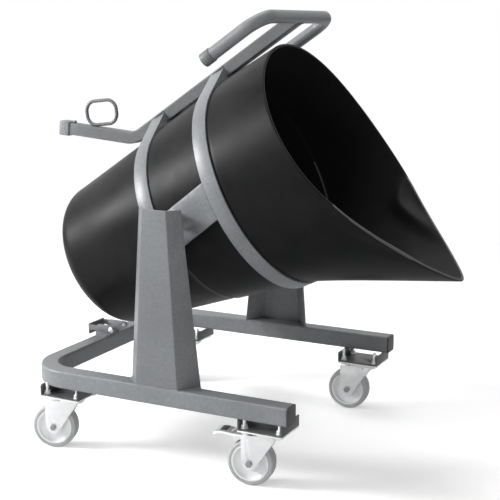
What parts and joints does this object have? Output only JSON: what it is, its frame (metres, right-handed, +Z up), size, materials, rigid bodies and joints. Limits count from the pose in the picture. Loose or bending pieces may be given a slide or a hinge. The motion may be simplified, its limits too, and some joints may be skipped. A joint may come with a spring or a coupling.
{
  "type": "tipping cart",
  "caption": "Hand cart with a tapered mixing barrel that tips in a cradle between the pedestals of a U-shaped base on swivel castors.",
  "frame": {"origin": "on the floor below the middle of the object's box, level with the bottoms of the tyres", "axes": "+X the pouring side, +Y the left side seen from behind, +Z up"},
  "size_m": [1.007, 0.622, 0.9648],
  "materials": {
    "grey_paint": "grey powder coat, lightly textured",
    "dark_paint": "dark grey powder coat",
    "barrel_plastic": "black moulded plastic with a soft sheen",
    "zinc_steel": "bright zinc plate",
    "hub_plastic": "light grey moulded hub",
    "tyre_rubber": "non-marking light grey rubber",
    "plug_plastic": "dark plastic tube plugs",
    "cap_plastic": "dark grey plastic sleeves",
    "bush_bronze": "bronze bush, oiled"
  },
  "bodies": {
    "base": {"base_frame": "grey_paint", "rail_plugs": "plug_plastic", "pedestal_right": "grey_paint", "pedestal_left": "grey_paint", "pivot_bosses": "grey_paint", "pivot_bushes": "bush_bronze", "castor_bracket_front_right": "dark_paint", "castor_bracket_front_left": "dark_paint", "castor_bracket_rear_right": "dark_paint", "castor_bracket_rear_left": "dark_paint", "castor_plate_front_right": "zinc_steel", "castor_plate_front_left": "zinc_steel", "castor_plate_rear_right": "zinc_steel", "castor_plate_rear_left": "zinc_steel", "castor_bolts": "zinc_steel", "castor_nuts": "zinc_steel", "catch_cheeks": "grey_paint", "bail_rivets": "zinc_steel"},
    "cradle": {"hoop_front": "grey_paint", "hoop_rear": "grey_paint", "side_plate_right": "grey_paint", "side_plate_left": "grey_paint", "hoop_gussets": "grey_paint", "pivot_pins": "zinc_steel", "spine_tube": "grey_paint", "tail_tube": "grey_paint", "tail_catch": "grey_paint", "ring_handle": "dark_paint", "handle_tube": "grey_paint", "handle_caps": "cap_plastic", "barrel": "barrel_plastic"},
    "swivel_front_right": {"fork_front_right": "zinc_steel", "axle_front_right": "zinc_steel", "brake_pin": "zinc_steel"},
    "wheel_front_right": {"hub_front_right": "hub_plastic", "tyre_front_right": "tyre_rubber"},
    "swivel_front_left": {"fork_front_left": "zinc_steel", "axle_front_left": "zinc_steel"},
    "wheel_front_left": {"hub_front_left": "hub_plastic", "tyre_front_left": "tyre_rubber"},
    "swivel_rear_right": {"fork_rear_right": "zinc_steel", "axle_rear_right": "zinc_steel"},
    "wheel_rear_right": {"hub_rear_right": "hub_plastic", "tyre_rear_right": "tyre_rubber"},
    "swivel_rear_left": {"fork_rear_left": "zinc_steel", "axle_rear_left": "zinc_steel"},
    "wheel_rear_left": {"hub_rear_left": "hub_plastic", "tyre_rear_left": "tyre_rubber"},
    "brake": {"brake_pedal": "zinc_steel"},
    "bail": {"catch_bail": "grey_paint"}
  },
  "joints": [
    {"name": "tilt", "type": "hinge", "parent": "base", "child": "cradle", "pos_m": [-0.05925, 0, 0.538], "axis": [0, 1, 0], "range_deg": [-64, 45]},
    {"name": "swivel_front_right", "type": "hinge", "parent": "base", "child": "swivel_front_right", "pos_m": [0.18175, -0.26854, 0.125], "axis": [0, 0, 1], "continuous": true},
    {"name": "roll_front_right", "type": "hinge", "parent": "swivel_front_right", "child": "wheel_front_right", "pos_m": [0.14709, -0.27341, 0.05], "axis": [0.1392, -0.9903, 0], "continuous": true},
    {"name": "swivel_front_left", "type": "hinge", "parent": "base", "child": "swivel_front_left", "pos_m": [0.18175, 0.26854, 0.125], "axis": [0, 0, 1], "continuous": true},
    {"name": "roll_front_left", "type": "hinge", "parent": "swivel_front_left", "child": "wheel_front_left", "pos_m": [0.14688, 0.26549, 0.05], "axis": [0.0872, -0.9962, 0], "continuous": true},
    {"name": "swivel_rear_right", "type": "hinge", "parent": "base", "child": "swivel_rear_right", "pos_m": [-0.31125, -0.26854, 0.125], "axis": [0, 0, 1], "continuous": true},
    {"name": "roll_rear_right", "type": "hinge", "parent": "swivel_rear_right", "child": "wheel_rear_right", "pos_m": [-0.34453, -0.27936, 0.05], "axis": [0.309, -0.9511, 0], "continuous": true},
    {"name": "swivel_rear_left", "type": "hinge", "parent": "base", "child": "swivel_rear_left", "pos_m": [-0.31125, 0.26854, 0.125], "axis": [0, 0, 1], "continuous": true},
    {"name": "roll_rear_left", "type": "hinge", "parent": "swivel_rear_left", "child": "wheel_rear_left", "pos_m": [-0.34572, 0.26246, 0.05], "axis": [0.1736, -0.9848, 0], "continuous": true},
    {"name": "brake", "type": "hinge", "parent": "swivel_front_right", "child": "brake", "pos_m": [0.13917, -0.27452, 0.109], "axis": [-0.1392, 0.9903, 0], "range_deg": [-4, 0]},
    {"name": "catch", "type": "hinge", "parent": "base", "child": "bail", "pos_m": [-0.35825, 0, 0.207], "axis": [0, 1, 0], "range_deg": [0, 60]}
  ]
}
